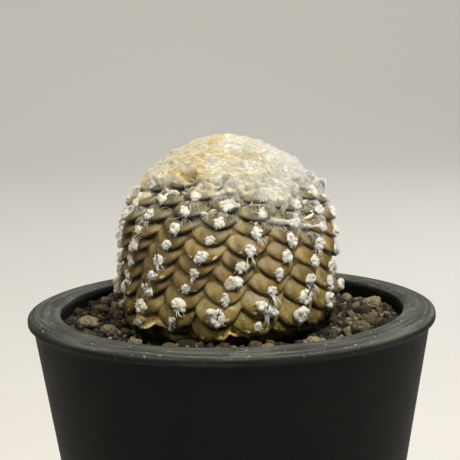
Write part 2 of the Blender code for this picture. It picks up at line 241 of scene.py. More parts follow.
def add_piece(name, points, quads, triangles, material, layers=None, replaces=()):
    """Hangs a mesh made from arrays in millimetres on the frame. Layers are its point attributes."""
    mesh = bpy.data.meshes.new(name)
    points = np.asarray(points, np.float32).reshape(-1, 3) * MM
    mesh.vertices.add(len(points))
    mesh.vertices.foreach_set("co", points.ravel())
    corners = np.concatenate([np.ravel(quads), np.ravel(triangles)]).astype(np.int32)
    mesh.loops.add(len(corners))
    mesh.loops.foreach_set("vertex_index", corners)
    sizes = np.concatenate([np.full(len(quads), 4), np.full(len(triangles), 3)]).astype(np.int32)
    mesh.polygons.add(len(sizes))
    mesh.polygons.foreach_set("loop_start", (np.cumsum(sizes) - sizes).astype(np.int32))
    mesh.update(calc_edges=True)
    for layer, values in (layers or {}).items():
        attribute = mesh.attributes.new(layer, "FLOAT", "POINT")
        attribute.data.foreach_set("value", np.asarray(values, np.float32).ravel())
    mesh.shade_smooth()
    mesh.materials.append(material)
    obj = bpy.data.objects.new(name, mesh)
    bpy.context.scene.collection.objects.link(obj)
    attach(obj, "root")
    if replaces:
        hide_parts(*replaces)
    return obj


def unit(vectors):
    """The vectors scaled to a length of 1."""
    return vectors / np.maximum(np.linalg.norm(vectors, axis=-1, keepdims=True), 1e-9)


def tubes(paths, radii, outward):
    """Three-sided tubes: a triangle of this radius carried along each path, one side square to outward."""
    count, steps, _ = paths.shape
    along = unit(np.gradient(paths, axis=1))
    across = unit(np.cross(along, outward))
    lift = np.cross(across, along)
    angle = TAU * np.arange(3) / 3 + TAU / 4
    ring = across[:, :, None] * np.cos(angle)[:, None] + lift[:, :, None] * np.sin(angle)[:, None]
    points = paths[:, :, None] + ring * radii[:, :, None, None]
    index = np.arange(count * steps * 3).reshape(count, steps, 3)
    beside = np.roll(index, -1, axis=2)
    sides = np.stack([index[:, :-1], index[:, 1:], beside[:, 1:], beside[:, :-1]], axis=-1)
    ends = np.concatenate([index[:, 0], index[:, -1][:, ::-1]])
    return points.reshape(-1, 3), sides.reshape(-1, 4), ends.reshape(-1, 3)


def lumps(centres, axes, radii, rows, columns, roughness, seed):
    """Rough balls: a sphere's rings stretched by three radii along three axes, pushed in and out by noise."""
    count = len(centres)
    polar = np.pi * (np.arange(rows) + 1) / (rows + 1)
    turn = TAU * np.arange(columns) / columns
    ring = np.stack(
        [
            np.sin(polar)[:, None] * np.sin(turn),
            -np.sin(polar)[:, None] * np.cos(turn),
            np.cos(polar)[:, None] * np.ones(columns),
        ],
        axis=-1,
    ).reshape(-1, 3)
    ball = np.concatenate([[[0, 0, 1.0]], ring, [[0, 0, -1.0]]])
    place = ball[None] * 1.7 + 13.7 * np.arange(count)[:, None, None]
    swell = 1.0 + roughness * (noise(place, 1.0, seed) + 0.6 * noise(place, 0.45, seed + 5))
    shaped = ball[None] * swell[..., None] * radii[:, None]
    points = centres[:, None] + np.einsum("nvk,nkd->nvd", shaped, axes)
    quads, triangles = grid_faces(rows, columns)
    start = (np.arange(count) * len(ball))[:, None, None]
    return points.reshape(-1, 3), (quads + start).reshape(-1, 4), (triangles + start).reshape(-1, 3)


def joined(*parts):
    """Several (points, quads, triangles) as one."""
    starts = np.cumsum([0] + [len(part[0]) for part in parts[:-1]])
    return (
        np.concatenate([part[0] for part in parts]),
        np.concatenate([part[1] + start for part, start in zip(parts, starts)]),
        np.concatenate([part[2] + start for part, start in zip(parts, starts)]),
    )


# ---------------------------------------------------------------- the body's surface


@functools.lru_cache(None)
def outline():
    """The body's outline, rounded off: arc, radius, height, and the outward normal's two parts."""
    heights, radii = np.array(BODY_OUTLINE).T
    knots = np.concatenate(([0.0], np.cumsum(np.hypot(np.diff(heights), np.diff(radii)))))
    arc = np.arange(0.0, knots[-1], 0.125)
    radius = np.interp(arc, knots, radii)
    height = np.interp(arc, knots, heights) + RIM
    half = 16
    window = np.hanning(2 * half + 3)[1:-1]
    window /= window.sum()
    radius = np.convolve(np.concatenate([-radius[half:0:-1], radius, [radius[-1]] * half]), window, "valid")
    height = np.convolve(np.concatenate([height[half:0:-1], height, [height[-1]] * half]), window, "valid")
    run, drop = np.gradient(radius, arc), np.gradient(height, arc)
    length = np.hypot(run, drop)
    return arc, np.maximum(radius, 0.0), height, -drop / length, run / length


def body_frame(angle, arc):
    """Point, outward normal, side and up vectors of the smooth outline at each place."""
    steps, *parts = outline()
    radius, height, out, rise = (np.interp(arc, steps, part) for part in parts)
    sine, cosine = np.sin(angle), np.cos(angle)
    zero = np.zeros_like(radius * sine)
    point = np.stack([sine * radius + BODY_CENTRE_X, -cosine * radius, height + zero], axis=-1)
    normal = np.stack([sine * out, -cosine * out, rise + zero], axis=-1)
    side = np.stack([cosine + zero, sine + zero, zero], axis=-1)
    return point, normal, side, np.cross(normal, side)


def body_point(angle, arc, lift):
    """Points on the smooth outline, moved out along its normal by a lift."""
    point, normal, _, _ = body_frame(angle, arc)
    return point + normal * np.asarray(lift)[..., None]


@functools.lru_cache(None)
def sites():
    """Step, side, angle and arc of every tubercle's tip on the double spiral, from the tip down."""
    steps, radius, height, _, _ = outline()
    falling = 560  # points of the outline down to the mix, where its height only falls
    anchor = float(np.interp(-ANCHOR_HEIGHT - RIM, -height[:falling], steps[:falling]))
    found = []
    for direction in (-1, 1):
        step, arc = 0, anchor
        while FIRST_ARC <= arc <= LAST_ARC:
            if step or direction > 0:
                turn = math.radians(ANCHOR_ANGLE - DIVERGENCE * step)
                found += [(step, 0, turn, arc), (step, 1, turn + math.pi, arc)]
            arc += direction * EQUATOR_RISE * min(radius.max() / np.interp(arc, steps, radius), MOST_STRETCH)
            step += direction
    return np.array(sorted(found, key=lambda site: site[3]))


@functools.lru_cache(None)
def relief():
    """The tubercles as overlapping lips on a grid of angle and arc.

    Each lip is a dome: the square root of 1 less the squares of the shares of its half width and its reach,
    which differs above and below its middle. Its middle line bends upwards at the ends like a smile. Shallow
    parabolas are taken off it, upwards so that the lip above covers its root, and faintly across. Old lips
    have a crease across them. The surface is the smoothed maximum of the flesh between lips and all lips:
    the logarithm of the sum of their exponentials. The lowest full lips are the plumpest and hang longest,
    and the spent ones under them have shrunk.
    """
    rng = np.random.default_rng(8)
    rows = np.concatenate(
        [np.arange(0.8, 16, 1.1), np.arange(16, BURIED_ARC, 0.27), np.arange(BURIED_ARC, 110, 2.2)]
    )
    turn = TAU * np.arange(COLUMNS) / COLUMNS
    settings = bpy.context.scene.cactus_body
    tall, droop = settings.lip_height / MM, settings.droop / MM
    total = np.full((len(rows), COLUMNS), math.exp(LIP_BLEND * BETWEEN_LIPS * tall))
    best = np.zeros_like(total)
    names = ("across", "upward", "tone", "scar")
    layers = {name: np.zeros_like(total) for name in names}
    steps, radius = outline()[:2]
    for _, _, angle, arc in sites():
        chance = rng.uniform(-1, 1, 8)
        age = float(smoothstep(50.0, 56.0, arc))
        spent = float(smoothstep(60.6, 61.5, arc))
        width = 5.5 + 0.6 * chance[0] + 1.3 * age
        lower = 2.4 + 0.3 * chance[1] + 2.0 * age
        height = tall * (1.0 + 0.13 * chance[2] + 0.26 * age - 0.55 * spent)
        slope = 0.04 + 0.02 * chance[3] - 0.02 * age
        hollow = 0.004 * chance[4]
        smile = 0.02 + 0.01 * chance[6]
        lean = 0.07 * chance[5]
        near = np.abs(rows - arc) < LIP_NEAR
        scale = 0.5 * (np.interp(rows[near], steps, radius) + float(np.interp(arc, steps, radius)))
        size = min(1.0, 0.35 + arc / 42.0)
        across = (np.mod(turn - angle + math.pi, TAU) - math.pi)[None] * scale[:, None]
        upward = (arc - 0.8 * droop - rows[near])[:, None] + lean * across - smile * across**2
        reach = np.where(upward > 0, 3.1, lower) * size
        far = (across / (width * size)) ** 2 + (np.abs(upward) / reach) ** 2
        dome = np.maximum(1.0 - far, 0.0) ** 0.5
        inside = dome > 0
        lip = height * dome - (slope * np.maximum(upward, 0.0) ** 2 + hollow * across**2) / size
        crease = bump(upward, -1.9 + 0.25 * across * chance[6], 0.7) * smoothstep(6, 2, np.abs(across))
        lip = lip - 0.55 * crease * age * (chance[7] > -0.2)
        total[near] += np.where(inside, np.exp(LIP_BLEND * np.maximum(lip, 0.0)) - 1.0, 0.0)
        wins = (lip > best[near]) & inside
        flank = bump(np.abs(across), 2.7 + 0.6 * chance[5], 1.2) * bump(upward, 0.25 * chance[6], 0.7)
        values = (across / width, upward / LIP_LENGTH, 0.5 + 0.5 * chance[0], flank * (chance[2] > 0.1))
        for name, value in zip(names, values):
            layers[name][near] = np.where(wins, value, layers[name][near])
        best[near] = np.where(wins, lip, best[near])
    return rows, turn, np.log(total) / LIP_BLEND, layers, tall, droop


@functools.lru_cache(None)
def skin():
    """The body's skin: rows, angles, points, lift of the surface, and its layers.

    The lift is the relief less a lip's height, with noise that grows with age and two folds of dried skin. A
    point slides down the body as its lip rises, so lips droop. The layer named under is how far the lips just
    above a point stand out past it, less the further up they are: a painted shadow that those lips cast.
    """
    rows, turn, height, layers, tall, droop = relief()
    angle = np.broadcast_to(turn, height.shape)
    arc = np.broadcast_to(rows[:, None], height.shape)
    smooth = body_point(angle, arc, np.zeros_like(arc))
    buried = smoothstep(BURIED_ARC + 2, BURIED_ARC + 8, arc)
    age = smoothstep(50.0, 58.0, arc)
    lift = height - tall
    stretched = smooth * np.array([1.0, 1.0, 1.6])
    lift += (0.24 + 0.30 * age) * noise(smooth, 3.6, 3) + (0.03 + 0.16 * age) * rough(stretched, 1.3, 5, 3)
    degrees = around(np.degrees(angle))
    for centre, half_width, rise, start, slant, sag, half_height in DRIED_FOLDS:
        turned = degrees - centre
        middle = start + slant * turned + sag * turned**2
        lift += rise * bump(degrees, centre, half_width) * bump(arc, middle, half_height)
    lift = np.where(arc < BURIED_ARC, lift, np.minimum(lift, BURIED_LIFT))
    lift = lift * (1 - buried) + BURIED_LIFT * buried
    slide = droop * np.clip((height / tall - BETWEEN_LIPS) / (1 - BETWEEN_LIPS), 0.0, 1.3) * (1 - buried)
    points = body_point(angle, arc + slide, lift)
    # Painted shadow: the more the lips just above a point stand out past it, the darker the skin is painted
    # there.
    under = np.zeros_like(height)
    for shift in range(1, SHADOW_ROWS):
        above = np.roll(height, shift, axis=0) - height
        under = np.maximum(under, above * (1.0 - shift / SHADOW_ROWS))
    return rows, turn, points, lift, {**layers, "under": np.clip(under / SHADOW_RISE, 0, 1)}


def at_places(values, angle, arc):
    """A grid of values over the skin's rows and angles, read between its points."""
    rows, turn = skin()[:2]
    row = np.clip(np.interp(arc, rows, np.arange(len(rows))), 0, len(rows) - 1.001)
    column = np.mod(angle, TAU) / TAU * len(turn)
    r, c = row.astype(int), column.astype(int)
    fr, fc = row - r, column - c
    c, c1 = c % len(turn), (c + 1) % len(turn)
    return (
        values[r, c] * (1 - fr) * (1 - fc)
        + values[r, c1] * (1 - fr) * fc
        + values[r + 1, c] * fr * (1 - fc)
        + values[r + 1, c1] * fr * fc
    )


def mat_edge(degrees):
    """Arc of the crown mat's edge at each angle: high at the front left, and low at the right and back."""
    edge = 23.6 - 5.0 * bump(degrees, -31, 17) - 1.9 * bump(degrees, -3, 10) + 1.0 * bump(degrees, 12, 10)
    return edge + 5.4 * bump(degrees, 34, 24) + 3.4 * bump(degrees, 92, 40) + 1.6 * bump(degrees, -160, 60)


def web_reach(degrees):
    """How far past the mat's edge strands of wool still run from areole to areole."""
    reach = 3.5 + 8.0 * bump(degrees, 12, 26) + 6.5 * bump(degrees, 52, 38) + 6.0 * bump(degrees, 100, 40)
    return reach + 4.0 * bump(degrees, -72, 26) + 2.5 * bump(degrees, -20, 12) + 5.0 * bump(degrees, 175, 60)


@functools.lru_cache(None)
def cover():
    """How much wool lies over each place of the skin's grid: above 0 it covers, below 0 the skin shows.

    It covers all inside the mat's ragged edge. Beyond that, it is the distance to the nearest of the strands,
    which are sagging lines between neighbouring areoles: the fewer and thinner, the further they are from the
    mat. Each gap takes the cover away inside a rounded box.
    """
    rng = np.random.default_rng(5)
    rows, turn = skin()[:2]
    degrees, arc = np.meshgrid(around(np.degrees(turn)), rows)
    place = body_point(np.radians(degrees), arc, np.zeros_like(arc))
    ragged = rough(place, 3.6, 23, 4)
    amount = (mat_edge(degrees) - arc) / 1.6 + 1.1 * ragged
    found = {(int(step), int(side)): (angle, start) for step, side, angle, start in sites()}
    steps, radius = outline()[:2]
    for (step, side), (angle, start) in found.items():
        for stride, flip in ((8, 1), (5, 0), (3, 1)):
            chance = rng.uniform(0, 1, 4)
            other = found.get((step + stride, (side + flip) % 2))
            if other is None or start > WEB_LAST_ARC:
                continue
            degree = float(around(math.degrees(angle)))
            past = (0.5 * (start + other[1]) - float(mat_edge(degree))) / float(web_reach(degree))
            if past > 1 or chance[0] > (1.15 - 0.8 * max(past, 0.0)) * (1.0 if stride == 8 else 0.75):
                continue
            width = (0.7 + 1.0 * chance[1]) * (1.15 - 0.6 * max(past, 0.0))
            near = (rows > start - 4) & (rows < other[1] + 4)
            middle = float(np.interp(0.5 * (start + other[1]), steps, radius))
            x = (np.mod(turn - angle + math.pi, TAU) - math.pi)[None] * middle
            y = rows[near][:, None] - start
            run = float(np.mod(other[0] - angle + math.pi, TAU) - math.pi) * middle, other[1] - start
            share = np.clip((x * run[0] + y * run[1]) / (run[0] ** 2 + run[1] ** 2), 0, 1)
            sag = (chance[2] - 0.5) * 2.0 * np.sin(np.pi * share)
            away = np.hypot(x - share * run[0] - sag, y - share * run[1])
            thick = width * (1.25 - 0.7 * np.sin(np.pi * share))
            amount[near] = np.maximum(amount[near], (thick - away) / 0.6)
    girth = np.interp(arc, steps, radius)
    for centre, start, half_width, half_height in WOOL_GAPS:
        x = np.radians(around(degrees - centre)) * girth / half_width
        y = (arc - start) / half_height
        amount -= (amount + 1.4) * np.exp(-((x**2 + y**2) ** 2))
    return amount + 0.5 * rough(place, 1.1, 27, 2)


# ---------------------------------------------------------------- materials


def add_node(tree, kind, inputs=(), output=0, stops=(), **settings):
    """Adds a node and returns one of its outputs. Settings are its properties, and stops a ramp's colours.

    Inputs go to its sockets, by name or in order: another node's output, a constant, or an sRGB hex colour.
    """
    node = tree.nodes.new(kind)
    for name, value in settings.items():
        setattr(node, name, value)
    for name, value in inputs.items() if isinstance(inputs, dict) else enumerate(inputs):
        if isinstance(value, bpy.types.NodeSocket):
            tree.links.new(value, node.inputs[name])
        else:
            node.inputs[name].default_value = linear(value) if isinstance(value, str) else value
    if stops:
        elements = node.color_ramp.elements
        while len(elements) < len(stops):
            elements.new(0.5)
        for element, (position, colour) in zip(elements, stops):
            element.position = position
            element.color = linear(colour)
    return None if output is None else node.outputs[output]


def start_material(name, layers=(), **noises):
    """An empty material, the function that adds its nodes, and its attribute layers and noises by name.

    Each noise is (size of its features in millimetres, detail, distortion), over Object coordinates.
    """
    material = bpy.data.materials.new(name)
    material.use_nodes = True
    material.node_tree.nodes.clear()
    add = functools.partial(add_node, material.node_tree)
    place = add("ShaderNodeTexCoord", output="Object")
    parts = {layer: add("ShaderNodeAttribute", output="Fac", attribute_name=layer) for layer in layers}
    for noise_name, (size, detail, distortion) in noises.items():
        inputs = {"Vector": place, "Scale": 1.0 / (size * MM), "Detail": detail, "Distortion": distortion}
        parts[noise_name] = add("ShaderNodeTexNoise", inputs, output="Fac")
    return material, add, SimpleNamespace(place=place, **parts)


def end_material(material, add, colour, roughness, **inputs):
    """Gives the material its Principled shader and output."""
    surface = {"Base Color": colour, "Roughness": roughness, **inputs}
    shader = add("ShaderNodeBsdfPrincipled", surface)
    add("ShaderNodeOutputMaterial", {"Surface": shader}, output=None)
    return material


def living_skin():
    """Waxy cactus skin: olive-brown, with painted shade and shadow under each lip, and a pale dusty coat of
    wax in the saddles between, which is also painted highlight on the lips' upper faces and towards the lit
    right.

    Young skin near the wool is grey-green. Old skin at the base is yellower, shinier, wrinkled and scarred,
    with some straw-yellow dead rind.
    """
    material, add, on = start_material(
        "waxy_cactus_skin",
        ("upward", "age", "bloom", "youth", "under", "tone", "rind", "scar"),
        blotch=(3.2, 4.0, 0.0),
        fleck=(0.5, 3.0, 0.0),
        husk=(1.4, 4.0, 1.0),
        crust=(0.9, 2.0, 1.0),
        wrinkle=(0.9, 5.0, 0.0),
    )
    grown, young, old = (
        add("ShaderNodeValToRGB", {"Fac": on.blotch}, stops=stops)
        for stops in (
            ((0.3, "#4c3a17"), (0.5, "#6c5727"), (0.7, "#8b7540")),
            ((0.3, "#4d4a31"), (0.7, "#77745a")),
            ((0.3, "#554b26"), (0.5, "#81733f"), (0.7, "#a3945b")),
        )
    )
    # Each share of a finish: (what it follows, from, to, then its own range)
    dusty, shaded, lip_shadow, value, strawy, dried, crusty, dull, creased = (
        add("ShaderNodeMapRange", span, interpolation_type="SMOOTHSTEP")
        for span in (
            (on.fleck, 0.25, 0.6, 0.45, 1.0),
            (on.upward, 0.05, -0.46, 0.0, 0.8),
            (on.under, 0.05, 0.8, 0.0, 0.92),
            (on.tone, 0.0, 1.0, 0.84, 1.12),
            (on.husk, 0.35, 0.6),
            (on.blotch, 0.3, 0.6, 0.6, 1.3),
            (on.crust, 0.42, 0.56),
            (on.age, 0.0, 1.0, 0.42, 0.2),
            (on.age, 0.0, 1.0, 0.7, 1.8),
        )
    )
    wax_and_highlight, rind, scar, height = (
        add("ShaderNodeMath", factors, operation="MULTIPLY")
        for factors in ((on.bloom, dusty), (on.rind, dried), (on.scar, crusty), (on.wrinkle, creased))
    )
    rind = add("ShaderNodeMapRange", (rind, 0.35, 0.6), interpolation_type="SMOOTHSTEP")
    scar = add("ShaderNodeMapRange", (scar, 0.25, 0.5, 0.0, 0.9), interpolation_type="SMOOTHSTEP")
    straw = add("ShaderNodeMix", {0: strawy, 6: "#a07a34", 7: "#f6e29c"}, output=2, data_type="RGBA")
    colour = grown
    # Painted light among the coats: the dark coat on the upward share is painted shade on each lip's lower
    # face, the darkest coat on the under share is the painted shadow under each lip, and the pale wax coat is
    # partly painted highlight.
    coats = ((on.youth, young), (on.age, old), (shaded, "#2c1e06"), (wax_and_highlight, "#ad9e76"), (lip_shadow, "#1c1001"))
    for share, coat in coats:
        colour = add("ShaderNodeMix", {0: share, 6: colour, 7: coat}, output=2, data_type="RGBA")
    colour = add("ShaderNodeHueSaturation", {"Value": value, "Color": colour})
    for share, coat in ((rind, straw), (scar, "#dcc79b")):
        colour = add("ShaderNodeMix", {0: share, 6: colour, 7: coat}, output=2, data_type="RGBA")
    dull = add("ShaderNodeMath", (wax_and_highlight, 0.3, dull), operation="MULTIPLY_ADD")
    height = add("ShaderNodeMath", (scar, 0.8, height), operation="MULTIPLY_ADD")
    dent = add("ShaderNodeBump", {"Strength": 0.5, "Distance": 0.25 * MM, "Height": height})
    return end_material(material, add, colour, dull, **{"Specular IOR Level": 0.36, "Normal": dent})


def plant_wool(name):
    """Matted plant wool: soft and dull, white where fresh, cream and ochre where old, and a little dirty."""
    noises = {"patch": (3.0, 5.0, 0.4), "grime": (0.7, 4.0, 0.6), "felt": (0.4, 4.0, 2.0)}
    material, add, on = start_material(name, ("warmth",), **noises)
    tint = add("ShaderNodeMath", (on.warmth, on.patch), operation="ADD")
    tint = add("ShaderNodeMath", (tint, 0.5), operation="MULTIPLY")
    stops = ((0.22, "#e4e4dc"), (0.40, "#e4dec6"), (0.56, "#dfcc98"), (0.76, "#cda458"))
    colour = add("ShaderNodeValToRGB", {"Fac": tint}, stops=stops)
    dirt = add("ShaderNodeMapRange", (on.grime, 0.58, 0.7, 0.0, 0.35), interpolation_type="SMOOTHSTEP")
    colour = add("ShaderNodeMix", {0: dirt, 6: colour, 7: "#8d7c59"}, output=2, data_type="RGBA")
    dent = add("ShaderNodeBump", {"Strength": 0.7, "Distance": 0.2 * MM, "Height": on.felt})
    softness = {
        "Sheen Weight": 0.15,
        "Sheen Roughness": 0.5,
        "Subsurface Weight": 0.4,
        "Subsurface Radius": (1.0, 0.8, 0.5),
        "Subsurface Scale": 1.5 * MM,
    }
    return end_material(material, add, colour, 0.95, Normal=dent, **softness)


def spine_horn():
    """Horny black spines: nearly black, a little shiny."""
    material, add, on = start_material("horny_black_spine", streak=(0.5, 2.0, 0.0))
    colour = add("ShaderNodeValToRGB", {"Fac": on.streak}, stops=((0.35, "#120d0b"), (0.7, "#2e241e")))
    return end_material(material, add, colour, 0.4)


def gritty_mix(name):
    """Potting grit: baked clay, pumice and bark, porous and dull, each crumb a little different in colour."""
    material, add, on = start_material(name, ("tone",), speck=(0.9, 5.0, 0.0), sand=(0.3, 4.0, 0.0))
    tint = add("ShaderNodeMath", (on.tone, on.speck), operation="ADD")
    tint = add("ShaderNodeMath", (tint, 0.5), operation="MULTIPLY")
    stops = ((0.22, "#14120c"), (0.42, "#3b3224"), (0.58, "#61553f"), (0.72, "#8e8166"), (0.85, "#b5aa8f"))
    colour = add("ShaderNodeValToRGB", {"Fac": tint}, stops=stops)
    pores = add("ShaderNodeTexVoronoi", {"Vector": on.place, "Scale": 1.0 / (0.6 * MM)}, output="Distance")
    height = add("ShaderNodeMath", (pores, on.sand), operation="ADD")
    dent = add("ShaderNodeBump", {"Strength": 1.0, "Distance": 0.45 * MM, "Height": height})
    return end_material(material, add, colour, 0.92, Normal=dent)


def black_stoneware():
    """Unglazed black stoneware: matt and near black, grey on the rim: dusty where hands and water have
    touched it, and painted sheen where its top faces the light.

    Turning has left fine rings round it, and there are pale specks of grit and mineral powder.
    """
    noises = {"cloud": (9.0, 6.0, 0.0), "grit": (0.8, 2.0, 0.0), "grain": (0.6, 4.0, 0.0)}
    material, add, on = start_material("unglazed_black_stoneware", ("dust", "rings"), **noises)
    streaked, clouded, speckled = (
        add("ShaderNodeMapRange", span, interpolation_type="SMOOTHSTEP")
        for span in ((on.rings, -1.0, 1.0, 0.3, 1.25), (on.cloud, 0.3, 0.7, 0.6, 1.0), (on.grit, 0.68, 0.74))
    )
    film = add("ShaderNodeMath", (clouded, streaked), operation="MULTIPLY")
    colour = add("ShaderNodeValToRGB", {"Fac": on.cloud}, stops=((0.3, "#050606"), (0.7, "#0a0d0c")))
    # Where the rim's mask reaches: the grey film is partly real dust and partly painted sheen on the rim's
    # top; the pale specks are real grit.
    for share, coat in ((film, "#585a53"), (speckled, "#b4b5ac")):
        share = add("ShaderNodeMath", (share, on.dust), operation="MULTIPLY")
        colour = add("ShaderNodeMix", {0: share, 6: colour, 7: coat}, output=2, data_type="RGBA")
    ridges = add("ShaderNodeMath", (on.grain, 0.5, on.rings), operation="MULTIPLY_ADD")
    dent = add("ShaderNodeBump", {"Strength": 0.4, "Distance": 0.12 * MM, "Height": ridges})
    return end_material(material, add, colour, 0.62, **{"Specular IOR Level": 0.12, "Normal": dent})


def net_polythene():
    """Moulded black polythene net: plain, dark and slightly waxy."""
    material, add, on = start_material("moulded_black_polythene", cloud=(2.0, 3.0, 0.0))
    colour = add("ShaderNodeValToRGB", {"Fac": on.cloud}, stops=((0.3, "#151515"), (0.7, "#242424")))
    return end_material(material, add, colour, 0.45)


# ---------------------------------------------------------------- the pieces


def inner_wall_radius(height):
    """The pot's inner wall: nearly upright under the rim, then straight in to the floor."""
    upright = RIM - 8.0
    slope = (RIM_INNER_RADIUS - 0.4 - (FOOT_RADIUS - WALL_THICKNESS)) / (upright - FLOOR)
    tapered = FOOT_RADIUS - WALL_THICKNESS + slope * (height - FLOOR)
    return np.where(height >= upright, RIM_INNER_RADIUS - 0.05 * (RIM - height), tapered)


def pot_profile():
    """The pot's section as a closed line of (radius, height), each stretch split so that it shades well."""
    corner = 2.5
    floor_radius = float(inner_wall_radius(FLOOR))
    knots = (
        (DRAIN_RADIUS, FLOOR - 0.4, 2),
        (DRAIN_RADIUS + 0.5, FLOOR, 8),
        (floor_radius - corner, FLOOR, 2),
        (floor_radius - 0.3 * corner, FLOOR + 0.3 * corner, 2),
        (float(inner_wall_radius(FLOOR + corner)), FLOOR + corner, 16),
        (float(inner_wall_radius(RIM - 8.0)), RIM - 8.0, 8),
        (RIM_INNER_RADIUS - 0.03, RIM - 0.7, 2),
        (RIM_INNER_RADIUS + 0.02, RIM - 0.35, 1),
        (RIM_INNER_RADIUS + 0.15, RIM - 0.12, 1),
        (RIM_INNER_RADIUS + 0.4, RIM, 2),
        (RIM_INNER_RADIUS + 1.4, RIM + 0.22, 5),
        (RIM_INNER_RADIUS + 3.1, RIM + RIM_CROWN, 8),
        (RIM_RADIUS - 3.0, RIM + 0.12, 5),
        (RIM_RADIUS - 1.5, RIM - 0.12, 1),
        (RIM_RADIUS - 1.25, RIM - 0.34, 1),
        (RIM_RADIUS - 0.75, RIM - 0.46, 1),
        (RIM_RADIUS - 0.35, RIM - 0.66, 1),
        (RIM_RADIUS - 0.1, RIM - 0.95, 1),
        (RIM_RADIUS, RIM - 1.3, 2),
        (RIM_RADIUS, RIM - RIM_DEPTH + 0.75, 1),
        (RIM_RADIUS - 0.08, RIM - RIM_DEPTH + 0.45, 1),
        (RIM_RADIUS - 0.35, RIM - RIM_DEPTH + 0.2, 1),
        (RIM_RADIUS - 0.8, RIM - RIM_DEPTH + 0.08, 1),
        (WALL_TOP_RADIUS + 0.15, RIM - RIM_DEPTH, 1),
        (WALL_TOP_RADIUS, RIM - RIM_DEPTH - 0.2, 40),
        (FOOT_RADIUS + 0.2, 1.0, 1),
        (FOOT_RADIUS + 0.05, 0.5, 1),
        (FOOT_RADIUS - 0.2, 0.15, 1),
        (FOOT_RADIUS - 0.5, 0.0, 3),
        (FOOT_INNER_RADIUS, 0.0, 1),
        (FOOT_INNER_RADIUS - 0.7, FOOT_LIFT, 10),
        (DRAIN_RADIUS + 0.5, FOOT_LIFT, 1),
        (DRAIN_RADIUS, FOOT_LIFT + 0.4, 2),
    )
    line = []
    for (r0, z0, parts), (r1, z1, _) in zip(knots, knots[1:] + knots[:1]):
        share = np.arange(parts) / parts
        line.append(np.stack([r0 + (r1 - r0) * share, z0 + (z1 - z0) * share], axis=-1))
    return np.concatenate(line)


def build_pot():
    """A profile turned about Z: radius and height from the section, with faint rings from the turning."""
    line = pot_profile()
    columns = 288
    rim_top = 50  # the profile's points after this one face outwards
    turn = TAU * np.arange(columns) / columns
    radius, height = line[:, :1] + 0 * turn, line[:, 1:] + 0 * turn
    place = np.stack([np.sin(turn) * radius, -np.cos(turn) * radius, height], axis=-1)
    on_top = smoothstep(RIM - 1.5, RIM - 0.1, height)
    outside = (radius > WALL_TOP_RADIUS - 16) & (np.arange(len(line))[:, None] > rim_top)
    wobble = 0.05 * noise(place, 9.0, 3)
    radius = radius - np.where(outside & (on_top < 0.5), np.abs(wobble), 0.0)
    along = np.stack([radius * 4.0, height * 4.0, turn * 6.0 + 0 * radius], axis=-1)
    rings = noise(along, 1.6, 12) + 0.5 * noise(along * 2.3, 1.6, 13)
    height = height - 0.02 * on_top * np.abs(rings)
    points = np.stack([np.sin(turn) * radius, -np.cos(turn) * radius, height], axis=-1)
    # Grey on the rim: real dust, and painted sheen on the rim's top where it faces the light, with a little
    # on the band below.
    dust = np.clip(on_top + 0.15 * (height > RIM - RIM_DEPTH) * outside, 0, 1)
    quads, triangles = grid_faces(len(line), columns, wrap_rows=True, poles=False)
    layers = {"rings": rings, "dust": dust}
    add_piece("pot_body", points, quads, triangles, black_stoneware(), layers, ["pot"])


def mix_level(angle, radius):
    """Height of the mix's top: level, banked at the front, hollow by the body's front left, and rough."""
    degrees = around(np.degrees(angle))
    level = RIM - 4.6 + 1.3 * bump(degrees, 0, 45) * smoothstep(31, 37, radius)
    level = level + 1.2 * bump(degrees, -120, 60) + 0.5 * bump(degrees, 100, 50)
    level = level - 2.2 * bump(degrees, -42, 26) * bump(radius, 30, 8)
    level = level - 2.0 * bump(degrees, 6, 16) * bump(radius, 27, 7)
    place = np.stack([np.sin(angle) * radius, -np.cos(angle) * radius, 0 * radius], axis=-1)
    bowl = 3.2 * smoothstep(30, 20, radius)
    return level + 0.8 * rough(place, 6.0, 51, 2) + 0.45 * rough(place, 2.0, 53, 3) - bowl


def build_mix():
    """The mix: rings from under the body out to the wall, down its side and in to the axis underneath."""
    columns = 420
    turn = TAU * np.arange(columns) / columns
    reach = np.concatenate([np.arange(11, 21, 1.5), np.arange(21, 44, 0.28), [44.0]])
    side = np.array([RIM - 8.0, 50.0, 20.0, FLOOR + 0.3])
    radius = np.concatenate([reach, inner_wall_radius(side) - 0.36, [26.0, 18.9, 17.7]])[:, None] + 0 * turn
    height = np.concatenate([0 * reach, side, [FLOOR + 0.3, FLOOR + 0.3, FLOOR + 1.6]])[:, None] + 0 * turn
    top = np.arange(len(reach))
    height[top] = mix_level(turn + 0 * radius[top], radius[top])
    radius[top] = np.minimum(radius[top], inner_wall_radius(height[top]) - 0.2)
    points = np.stack([np.sin(turn) * radius, -np.cos(turn) * radius, height], axis=-1)
    pole_top = [0.0, 0.0, float(height[0].mean()) - 3.0]
    pole_bottom = [0.0, 0.0, FLOOR + 1.6]
    points = np.concatenate([[pole_top], points.reshape(-1, 3), [pole_bottom]])
    quads, triangles = grid_faces(len(radius), columns)
    tone = 0.05 + 0.25 * rough(points, 2.2, 77, 3)
    grit = gritty_mix("potting_grit_bed")
    add_piece("mix_bed", points, quads, triangles, grit, {"tone": tone}, ["potting_mix"])


def random_axes(rng, count):
    """Random turns: three unit vectors at right angles, right-handed, for each of the count."""
    first = unit(rng.normal(size=(count, 3)))
    second = unit(np.cross(first, rng.normal(size=(count, 3))))
    return np.stack([first, second, np.cross(first, second)], axis=1)


